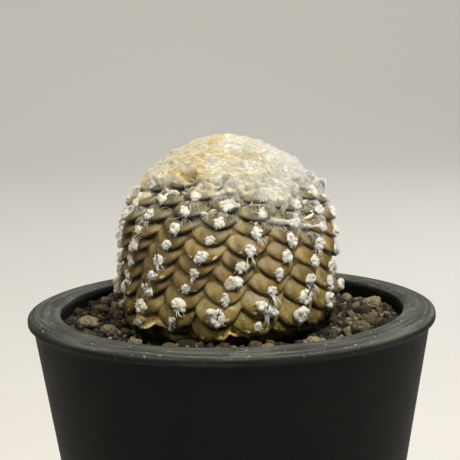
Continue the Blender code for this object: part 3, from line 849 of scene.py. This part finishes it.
def build_crumbs():
    """Loose crumbs: one rough ball for each crumb in the frame, and many smaller ones round the body."""
    rng = np.random.default_rng(21)
    big_rows, big_columns = 11, 16
    names = sorted(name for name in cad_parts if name.startswith("mix_crumb"))
    corners = np.array([[list(c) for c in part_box(name)] for name in names]) / MM
    big_centre = corners.mean(axis=1)
    big_radii = (corners[:, 1] - corners[:, 0]) / 2
    big_axes = np.broadcast_to(np.eye(3), (len(names), 3, 3))
    parts = [lumps(big_centre, big_axes, big_radii * 1.05, big_rows, big_columns, 0.30, 61)]
    tones = [np.repeat(rng.uniform(0.45, 0.95, len(names)), big_rows * big_columns + 2)]
    for count, low, high, rows, columns in ((420, 0.8, 1.9, 7, 10), (1500, 0.35, 0.9, 4, 7)):
        angle = rng.uniform(0, TAU, count)
        radius = np.sqrt(rng.uniform(25.5**2, 43.0**2, count))
        size = low + (high - low) * rng.uniform(0, 1, count) ** 2
        radius = np.minimum(radius, 43.6 - size)
        centre = np.stack([np.sin(angle) * radius, -np.cos(angle) * radius, 0 * radius], axis=-1)
        centre[:, 2] = mix_level(angle, radius) + 0.25 * size
        radii = size[:, None] * rng.uniform(0.65, 1.1, (count, 3))
        parts.append(lumps(centre, random_axes(rng, count), radii, rows, columns, 0.3, 63 + rows))
        tones.append(np.repeat(rng.uniform(0.0, 1.0, count) ** 1.2, rows * columns + 2))
    points, quads, triangles = joined(*parts)
    grit = gritty_mix("potting_grit_crumbs")
    add_piece("mix_crumbs", points, quads, triangles, grit, {"tone": np.concatenate(tones)}, names)


def build_stem():
    """The body: the outline turned about its axis, raised into overlapping lips, one at each site."""
    rows, turn, points, lift, layers = skin()
    degrees = around(np.degrees(turn))[None] + 0 * lift
    arc = rows[:, None] + 0 * lift
    age = smoothstep(46.0, 58.0, arc)
    across = np.abs(layers["across"])
    # The pale coat: real wax in the saddles between lips, plus painted highlight on each lip's upper face.
    # The whole coat is painted paler towards the lit right as highlight, and there is less of it on old skin.
    side = smoothstep(0.45, 0.75, across) * smoothstep(-0.15, 0.2, layers["upward"])
    bloom = 0.45 * smoothstep(0.2, 0.7, layers["upward"]) + 0.75 * side
    bloom *= (1.0 - 0.7 * age) * (0.55 + 0.45 * smoothstep(-60, 20, degrees))
    # The painted shadow under the lips is made lighter at the lips' sides towards the lit right, less so on
    # old skin.
    right = smoothstep(-25, 25, degrees) * (1.0 - 0.6 * age)
    under = layers["under"] * (1.0 - 0.55 * right * smoothstep(0.5, 0.9, across))
    rind = 1.3 * bump(degrees, -49, 20) * bump(arc, 58.0, 3.0)
    rind += 0.9 * bump(degrees, 2, 14) * bump(arc, 59.5, 3.4)
    scar = layers["scar"] * smoothstep(34, 40, arc)
    named = {
        "upward": layers["upward"],
        "under": under,
        "tone": layers["tone"],
        "age": age,
        "bloom": np.clip(bloom, 0, 1),
        "youth": smoothstep(36.0, 28.0, arc),
        "scar": np.clip(scar, 0, 1),
        "rind": np.clip(1.6 * rind, 0, 1),
    }
    top = [BODY_CENTRE_X, 0.0, float(points[0, :, 2].mean())]
    bottom = [BODY_CENTRE_X, 0.0, float(points[-1, :, 2].mean()) - 0.5]
    points = np.concatenate([[top], points.reshape(-1, 3), [bottom]])
    quads, triangles = grid_faces(len(rows), len(turn))
    named = {name: np.concatenate([[0], values.ravel(), [0]]) for name, values in named.items()}
    add_piece("cactus_body", points, quads, triangles, living_skin(), named, ["cactus_stem"])


def wool_lift(angle, arc):
    """Lift of the wool's surface: a lumpy felt where the cover is above 0, and inside the body elsewhere.

    On the mat it rests on the tips of the tubercles. Past the mat it sags between them, not to the bottom.
    """
    amount = at_places(cover(), angle, arc)
    surface = at_places(skin()[3], angle, arc)
    smooth = body_point(angle, arc, np.zeros_like(arc))
    inward = mat_edge(around(np.degrees(angle))) - arc
    on_mat = smoothstep(-2.0, 1.0, inward)
    resting = np.maximum(surface, -0.8) * (1 - on_mat) + on_mat * np.maximum(surface, -0.35)
    lumps_high = 0.42 * rough(smooth, 3.6, 31, 2) + 0.24 * rough(smooth, 1.3, 35, 3)
    thick = 0.45 + 0.35 * bump(inward, 1.5, 3.5) + 0.55 * on_mat + 0.5 * smoothstep(26.0, 8.0, arc)
    raised = resting + (thick + lumps_high * (0.5 + 0.7 * on_mat)) * smoothstep(-0.1, 1.1, amount)
    sunk = surface - 2.4
    return sunk + (raised - sunk) * smoothstep(-0.35, 0.15, amount)


def warmth(points):
    """How yellow the wool is: most on the top and the left, least on the right front, with painted warm shade
    in ochre under the mat's ledge at the front left.
    """
    x, height = points[..., 0], points[..., 2] - RIM
    top = smoothstep(36, 43, height) * bump(x, -3.0, 16.0)
    left = smoothstep(2.0, -16.0, x) * smoothstep(26, 32, height)
    degrees = np.degrees(np.arctan2(points[..., 0] - BODY_CENTRE_X, -points[..., 1]))
    # Painted warm shade: ochre on the underside of the mat's overhanging ledge at the front left.
    shaded_ledge = bump(degrees, -32.0, 17.0) * bump(height, 36.6, 1.8)
    base = 0.12 - 0.006 * x + 0.2 * top + 0.2 * left + 0.4 * shaded_ledge
    return np.clip(base + 0.26 * rough(points, 3.6, 91, 3), 0, 1)


def fibre_paths(rng, angle, arc, lengths, steps, heading, spread, curl, arch):
    """Paths over the wool or skin from these places: the heading turns steadily, and the middle lifts off."""
    count = len(arc)
    length = rng.uniform(*lengths, count)
    share = np.linspace(0, 1, steps)
    direction = (heading + rng.normal(0.0, spread, count))[:, None]
    direction = direction + rng.normal(0.0, curl, count)[:, None] * share
    stride = (length / (steps - 1))[:, None]
    down = np.abs(arc[:, None] + np.cumsum(np.cos(direction) * stride, axis=1))
    girth = np.maximum(np.interp(down, *outline()[:2]), 3.0)
    sideways = angle[:, None] + np.cumsum(np.sin(direction) * stride / girth, axis=1)
    surface = np.maximum(wool_lift(sideways, down), at_places(skin()[3], sideways, down))
    height = rng.uniform(-0.05, 0.2, count)[:, None]
    height = height + arch * rng.uniform(0, 1, count)[:, None] * np.sin(np.pi * share)
    return body_point(sideways, down, surface + height), body_frame(sideways, down)[1]


def build_crown_wool():
    """A felt mat, a grid of angle and arc at the wool's lift, and thousands of curling fibres lying on it."""
    last = 44.0  # arc of the mat's last ring, which is sunk in the body
    rows = np.concatenate([np.arange(0.5, last, 0.265), [last]])
    turn = TAU * np.arange(COLUMNS) / COLUMNS
    angle, arc = turn[None] + 0 * rows[:, None], rows[:, None] + 0 * turn
    lift = wool_lift(angle, arc)
    lift[-1] = -3.0
    points = body_point(angle, arc, lift)
    top, bottom = points[0].mean(axis=0), points[-1].mean(axis=0)
    points = np.concatenate([[top], points.reshape(-1, 3), [bottom]])
    quads, triangles = grid_faces(len(rows), COLUMNS)
    wool = plant_wool("matted_crown_wool")
    layers = {"warmth": warmth(points)}
    add_piece("crown_felt", points, quads, triangles, wool, layers, ["crown_wool"])

    rng = np.random.default_rng(44)
    wanted = bpy.context.scene.cactus_wool.crown_fibres
    tries = 6 * wanted
    # (piece, lengths, spread of the headings, curl, radii)
    looks = (
        ("crown_fibres", (1.5, 4.2), 0.8, 1.0, (0.04, 0.075)),
        ("crown_fuzz", (0.8, 2.6), 1.6, 1.8, (0.025, 0.045)),
    )
    for name, lengths, spread, curl, thickness in looks:
        arc = np.sqrt(rng.uniform(0.2, WEB_LAST_ARC**2, tries))
        angle = rng.uniform(0, TAU, tries)
        steep = np.abs(wool_lift(angle, arc + 0.3) - wool_lift(angle, arc - 0.3)) / 0.6
        keep = at_places(cover(), angle, arc) > rng.uniform(-0.2, 0.6, tries)
        keep &= rng.uniform(0, 3.0, tries) < 1.0 + steep
        arc, angle = arc[keep][:wanted], angle[keep][:wanted]
        swirl = 0.9 * noise(body_point(angle, arc, 0 * arc), 7.0, 55)
        paths, normals = fibre_paths(rng, angle, arc, lengths, 6, swirl, spread, curl, 0.3)
        radii = rng.uniform(*thickness, (len(arc), 1)) * np.array([0.6, 1.0, 1.0, 0.9, 0.7, 0.25])
        points, quads, triangles = tubes(paths, radii, normals)
        add_piece(name, points, quads, triangles, wool, {"warmth": warmth(points)})


def tuft_places():
    """The sites whose tufts show between the wool's edge and the mix, with each tuft's width and length."""
    rng = np.random.default_rng(17)
    found = sites()
    arc = found[:, 3]
    size = rng.uniform(1.05, 1.6, len(found))
    size += 0.5 * smoothstep(49, 54, arc) * rng.uniform(0.1, 1, len(found))
    aspect = rng.uniform(0.8, 1.22, len(found))
    size *= np.where((arc > 57.6) & (rng.uniform(0, 1, len(found)) > 0.35), 0.0, 1.0)
    for number, site in enumerate(found):
        place = (int(site[0]), int(site[1]))
        if place in LARGE_TUFTS:
            half_width, half_height = LARGE_TUFTS[place]
            size[number] = math.sqrt(half_width * half_height)
            aspect[number] = math.sqrt(half_width / half_height)
        elif place in SMALL_TUFTS:
            size[number] *= SMALL_TUFT_SHARE
    shown = (arc > 22) & (arc < 62) & (size > 0)
    return found[shown], size[shown], aspect[shown]


def tuft_pads(rng):
    """Each tuft's pad: its place and size, its middle, its axes with the last one outwards, and its radii."""
    found, size, aspect = tuft_places()
    angle, arc = found[:, 2], found[:, 3]
    lift = at_places(skin()[3], angle, arc - 0.8)
    point, normal, side, up = body_frame(angle, arc)
    tilt = rng.normal(0, 0.4, len(arc))[:, None]
    first = side * np.cos(tilt) + up * np.sin(tilt)
    second = up * np.cos(tilt) - side * np.sin(tilt)
    return SimpleNamespace(
        angle=angle,
        arc=arc,
        size=size,
        centre=point + normal * lift[:, None] + 0.2 * up,
        axes=np.stack([first, second, normal], axis=1),
        radii=np.stack([size * aspect, size / aspect, 0.45 + 0.28 * size], axis=-1),
        droop=up + normal,
    )


def over_pads(pads, owner, spread, reach, dome, rise, start):
    """Places over pads: out from the start by an angle and a share of the radii, up by a share of a dome."""
    first, second, normal = np.moveaxis(pads.axes[owner], 1, 0)
    radii = pads.radii[owner]
    place = start + first * (np.cos(spread) * reach * radii[:, 0])[:, None]
    place = place + second * (np.sin(spread) * reach * radii[:, 1])[:, None]
    return place + normal * (np.sqrt(dome - reach**2) * radii[:, 2] * rise)[:, None]


def tuft_knobs(rng, pads):
    """Small rough balls on each pad, which make it knobbly."""
    owner = np.repeat(np.arange(len(pads.arc)), KNOBS)
    total = len(owner)
    spread = rng.uniform(0, TAU, total)
    reach = rng.uniform(0.45, 1.0, total)
    offset = over_pads(pads, owner, spread, reach, 1.03, 0.7, 0.0)
    size = pads.size[owner] * rng.uniform(0.28, 0.5, total)
    radii = size[:, None] * rng.uniform(0.8, 1.2, (total, 3))
    return lumps(pads.centre[owner] + offset, random_axes(rng, total), radii, 5, 8, 0.25, 87)


def tuft_hairs(rng, pads):
    """Short fibres that stand off each pad: straight, but for a bend that grows as the square of the way."""
    owner = np.repeat(np.arange(len(pads.arc)), bpy.context.scene.cactus_wool.tuft_fibres)
    total = len(owner)
    spread = rng.uniform(0, TAU, total)
    reach = np.sqrt(rng.uniform(0.02, 1.0, total))
    first, second, normal = np.moveaxis(pads.axes[owner], 1, 0)
    sideways = first * (np.cos(spread) * reach)[:, None] + second * (np.sin(spread) * reach)[:, None]
    base = over_pads(pads, owner, spread, reach, 1.02, 0.9, pads.centre[owner])
    out = unit(sideways + 0.25 * normal + 0.7 * rng.normal(size=(total, 3)))
    share = np.linspace(0, 1, 5)[None, :, None]
    length = rng.uniform(0.3, 0.9, total)[:, None, None]
    curl = rng.normal(0, 0.3, (total, 1, 3)) - 0.15 * pads.droop[owner][:, None]
    paths = base[:, None] + out[:, None] * share * length + curl * share**2 * length
    radii = rng.uniform(0.05, 0.09, (total, 1)) * np.array([1.0, 1.0, 0.9, 0.7, 0.25])
    return tubes(paths, radii, np.broadcast_to(normal[:, None], paths.shape))


def tuft_locks(rng, pads):
    """Longer locks that hang from some of the pads: fibre paths, stretched from where they start."""
    locks = np.flatnonzero(rng.uniform(0, 1, len(pads.arc)) < 0.42)
    owner = np.repeat(locks, LOCK_FIBRES)
    total = len(owner)
    lean = np.repeat(rng.normal(0.0, 0.35, len(locks)), LOCK_FIBRES)
    angle = pads.angle[owner] + rng.normal(0, 0.4, total) / BODY_RADIUS
    arc = pads.arc[owner] + rng.uniform(-0.6, 0.6, total)
    lengths = np.repeat(rng.uniform(1.6, 3.8, len(locks)), LOCK_FIBRES)
    paths, normals = fibre_paths(rng, angle, arc, (0.5, 1.0), 6, lean, 0.06, 0.25, 0.5)
    paths = paths[:, :1] + (paths - paths[:, :1]) * lengths[:, None, None]
    radii = rng.uniform(0.09, 0.17, (total, 1)) * np.array([1.0, 1.0, 1.0, 1.0, 0.8, 0.4])
    return tubes(paths, radii, normals)


def build_areole_wool():
    """Tufts: a knobbly pad of felt on each areole, short hairs over it, and on some a longer hanging lock."""
    rng = np.random.default_rng(29)
    pads = tuft_pads(rng)
    balls = lumps(pads.centre, pads.axes, pads.radii, 12, 18, 0.30, 83)
    knobs, hairs, locks = (make(rng, pads) for make in (tuft_knobs, tuft_hairs, tuft_locks))
    wool = plant_wool("areole_wool_felt")
    names = [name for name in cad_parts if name.startswith("areole_wool")]
    pieces = (("areole_tufts", (balls, knobs, locks), names), ("areole_hairs", (hairs,), ()))
    for name, parts, replaced in pieces:
        points, quads, triangles = joined(*parts)
        layers = {"warmth": np.clip(warmth(points) - 0.12, 0, 1)}
        add_piece(name, points, quads, triangles, wool, layers, replaced)


def build_spines():
    """Spines: straight round cones, a circle shrinking along a line, that rise out of a few of the tufts."""
    found, size, _ = tuft_places()
    chosen = np.array([(int(s[0]), int(s[1])) in SPINE_SITES for s in found])
    angle, arc, size = found[chosen, 2], found[chosen, 3], size[chosen]
    lift = at_places(skin()[3], angle, arc - 0.8)
    point, normal, side, up = body_frame(angle, arc)
    number = np.arange(len(arc))
    lean = unit(normal * 0.45 + side * (0.3 * np.sin(2.4 * number + 1.0))[:, None] + up)
    base = point + normal * (lift + 0.3 + 0.22 * size)[:, None]
    length = 4.5 + (number * 0.37) % 0.9
    share = np.array([0.0, 0.25, 0.5, 0.75, 0.93, 1.0])
    paths = base[:, None] + lean[:, None] * (share * length[:, None])[..., None]
    radii = 0.2 * np.array([1.0, 0.95, 0.85, 0.7, 0.45, 0.12]) + 0 * length[:, None]
    outward = np.broadcast_to(normal[:, None], paths.shape)
    points, quads, triangles = tubes(paths, radii, outward)
    names = [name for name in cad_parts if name.startswith("spine_")]
    add_piece("black_spines", points, quads, triangles, spine_horn(), None, names)


def finish_net():
    """The drain net stays as the frame has it, with its own finish."""
    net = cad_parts["drain_net"]
    net.data.materials.clear()
    net.data.materials.append(net_polythene())


# ---------------------------------------------------------------- the stage


CAMERA_DISTANCE = 439.0  # from the rim's centre
CAMERA_RISE = 12.536  # degrees above the rim's plane
CAMERA_PITCH = -9.947
CAMERA_ROLL = -1.134
CAMERA_LENS = 131.9


def build_camera():
    """A long lens in front of the pot, a little above its rim, turned by a pitch and a roll."""
    rise, pitch, roll = (math.radians(a) for a in (CAMERA_RISE, CAMERA_PITCH, CAMERA_ROLL))
    data = bpy.data.cameras.new("camera")
    data.lens = CAMERA_LENS
    data.sensor_width = 36.0
    data.clip_start = 0.01
    camera = bpy.data.objects.new("camera", data)
    look = Vector((0.0, math.cos(pitch), math.sin(pitch)))
    right = Vector((1.0, 0.0, 0.0))
    up = right.cross(look)
    across = right * math.cos(roll) + up * math.sin(roll)
    above = up * math.cos(roll) - right * math.sin(roll)
    place = Vector((0.0, -CAMERA_DISTANCE * math.cos(rise), RIM + CAMERA_DISTANCE * math.sin(rise))) * MM
    turn = Matrix((across, above, -look)).transposed()
    camera.matrix_world = Matrix.Translation(place) @ turn.to_4x4()
    bpy.context.scene.collection.objects.link(camera)
    bpy.context.scene.camera = camera


def add_light(name, place, aim, size, power, colour):
    """A round light of this size in metres, turned to face a point."""
    data = bpy.data.lights.new(name, "AREA")
    data.shape = "DISK"
    data.size = size
    data.energy = power
    data.color = linear(colour)[:3]
    light = bpy.data.objects.new(name, data)
    light.location = place
    light.rotation_euler = (Vector(aim) - Vector(place)).to_track_quat("-Z", "Y").to_euler()
    bpy.context.scene.collection.objects.link(light)


def build_stage():
    """A pale paper sweep: flat under the pot, curving up far behind it, and three soft lights."""
    stage = bpy.context.scene.cactus_stage
    half, back, bend = 2200.0, 900.0, 700.0
    turn = np.linspace(0, np.pi / 2, 24)
    run = np.concatenate([[-1600.0], back + bend * np.sin(turn), [back + bend]])
    rise = np.concatenate([[0.0], bend * (1 - np.cos(turn)), [2600.0]])
    across = np.array([-half, half])
    points = np.stack(np.broadcast_arrays(across[None], run[:, None], rise[:, None]), axis=-1)
    index = np.arange(points[..., 0].size).reshape(len(run), 2)
    quads = np.stack([index[:-1, 0], index[:-1, 1], index[1:, 1], index[1:, 0]], axis=-1)
    mesh = bpy.data.meshes.new("paper_sweep")
    mesh.from_pydata((points.reshape(-1, 3) * MM).tolist(), [], quads.tolist())
    mesh.shade_smooth()
    paper, add, _ = start_material("matt_pale_paper")
    mesh.materials.append(end_material(paper, add, (*stage.paper, 1.0), 0.9))
    sweep = bpy.data.objects.new("paper_sweep", mesh)
    bpy.context.scene.collection.objects.link(sweep)
    target = (0.0, 0.0, RIM * MM)
    add_light("key_light", (0.20, -0.33, 0.58), target, 0.14, stage.key_power, "#fffaf0")
    add_light("fill_light", (-0.45, -0.30, 0.60), target, 0.7, stage.fill_power, "#fff8ee")
    add_light("backdrop_light", (0.0, 0.35, 1.3), (0.0, 1.7, 0.3), 0.8, stage.backdrop_power, "#f6f4ef")
    add_light("rim_light", (0.45, 0.55, 0.5), target, 0.4, stage.back_power, "#f3f6ff")
    world = bpy.data.worlds.new("studio")
    world.use_nodes = True
    world.node_tree.nodes["Background"].inputs[0].default_value = linear("#dedcd6")
    world.node_tree.nodes["Background"].inputs[1].default_value = stage.ambient
    bpy.context.scene.world = world
    bpy.context.scene.view_settings.view_transform = "Standard"
    build_camera()


# ---------------------------------------------------------------- the add-on


class CactusBody(bpy.types.PropertyGroup):
    lip_height: FloatProperty(
        name="Lip height",
        description="How far a tubercle stands off the body",
        default=3.6 * MM,
        unit="LENGTH",
    )
    droop: FloatProperty(
        name="Droop",
        description="How far a tubercle's tip hangs below its middle",
        default=1.9 * MM,
        unit="LENGTH",
    )


class CactusWool(bpy.types.PropertyGroup):
    crown_fibres: IntProperty(
        name="Crown fibres", description="Loose fibres on the crown, in each of two lengths", default=6000
    )
    tuft_fibres: IntProperty(name="Tuft fibres", description="Fibres on each areole's tuft", default=40)


class CactusStage(bpy.types.PropertyGroup):
    paper: FloatVectorProperty(
        name="Paper",
        description="Colour of the backdrop",
        default=linear("#dcdad5")[:3],
        subtype="COLOR",
        size=3,
    )
    key_power: FloatProperty(name="Key", description="Main light from the right", default=4.1, unit="POWER")
    fill_power: FloatProperty(name="Fill", description="Weak light from the left", default=2.4, unit="POWER")
    back_power: FloatProperty(name="Back", description="Edge light from behind", default=1.4, unit="POWER")
    backdrop_power: FloatProperty(
        name="Backdrop", description="Light on the backdrop", default=12.0, unit="POWER"
    )
    ambient: FloatProperty(name="Ambient", description="Strength of the even light all round", default=0.10)


class CACTUS_OT_pot(bpy.types.Operator):
    """Turn the stoneware pot"""

    bl_idname = "cactus.pot"
    bl_label = "Pot"
    bl_options = {"REGISTER", "UNDO"}

    def execute(self, context):
        build_pot()
        finish_net()
        return {"FINISHED"}


class CACTUS_OT_mix(bpy.types.Operator):
    """Fill the pot with mix and strew crumbs on it"""

    bl_idname = "cactus.mix"
    bl_label = "Potting mix"
    bl_options = {"REGISTER", "UNDO"}

    def execute(self, context):
        build_mix()
        build_crumbs()
        return {"FINISHED"}


class CACTUS_OT_body(bpy.types.Operator):
    """Grow the cactus body"""

    bl_idname = "cactus.body"
    bl_label = "Body"
    bl_options = {"REGISTER", "UNDO"}

    def execute(self, context):
        build_stem()
        return {"FINISHED"}


class CACTUS_OT_crown(bpy.types.Operator):
    """Felt the crown with wool"""

    bl_idname = "cactus.crown"
    bl_label = "Crown wool"
    bl_options = {"REGISTER", "UNDO"}

    def execute(self, context):
        build_crown_wool()
        return {"FINISHED"}


class CACTUS_OT_areoles(bpy.types.Operator):
    """Set a tuft of wool on each areole, and the spines"""

    bl_idname = "cactus.areoles"
    bl_label = "Areole wool and spines"
    bl_options = {"REGISTER", "UNDO"}

    def execute(self, context):
        build_areole_wool()
        build_spines()
        return {"FINISHED"}


class CACTUS_OT_stage(bpy.types.Operator):
    """Set the backdrop, the lights and the camera"""

    bl_idname = "cactus.stage"
    bl_label = "Stage"
    bl_options = {"REGISTER", "UNDO"}

    def execute(self, context):
        build_stage()
        return {"FINISHED"}


OPERATORS = (
    CACTUS_OT_pot,
    CACTUS_OT_mix,
    CACTUS_OT_body,
    CACTUS_OT_crown,
    CACTUS_OT_areoles,
    CACTUS_OT_stage,
)


class CACTUS_PT_panel(bpy.types.Panel):
    """The cactus's settings and steps, in the order that they are built"""

    bl_idname = "CACTUS_PT_panel"
    bl_label = "Potted round cactus"
    bl_space_type = "VIEW_3D"
    bl_region_type = "UI"
    bl_category = "Cactus"

    def draw(self, context):
        for group in (context.scene.cactus_body, context.scene.cactus_wool, context.scene.cactus_stage):
            for name in group.bl_rna.properties.keys():
                if name not in ("rna_type", "name"):
                    self.layout.prop(group, name)
        for operator in OPERATORS:
            self.layout.operator(operator.bl_idname)


GROUPS = {"cactus_body": CactusBody, "cactus_wool": CactusWool, "cactus_stage": CactusStage}


def register():
    for group in GROUPS.values():
        bpy.utils.register_class(group)
    for name, group in GROUPS.items():
        setattr(bpy.types.Scene, name, PointerProperty(type=group))
    for cls in (*OPERATORS, CACTUS_PT_panel):
        bpy.utils.register_class(cls)


def unregister():
    for cls in (CACTUS_PT_panel, *reversed(OPERATORS)):
        bpy.utils.unregister_class(cls)
    for name, group in GROUPS.items():
        delattr(bpy.types.Scene, name)
        bpy.utils.unregister_class(group)


def main():
    register()
    for operator in OPERATORS:
        group, name = operator.bl_idname.split(".")
        result = getattr(getattr(bpy.ops, group), name)()
        if result != {"FINISHED"}:
            raise RuntimeError(f"{operator.bl_label} did not finish")


if __name__ == "__main__":
    main()
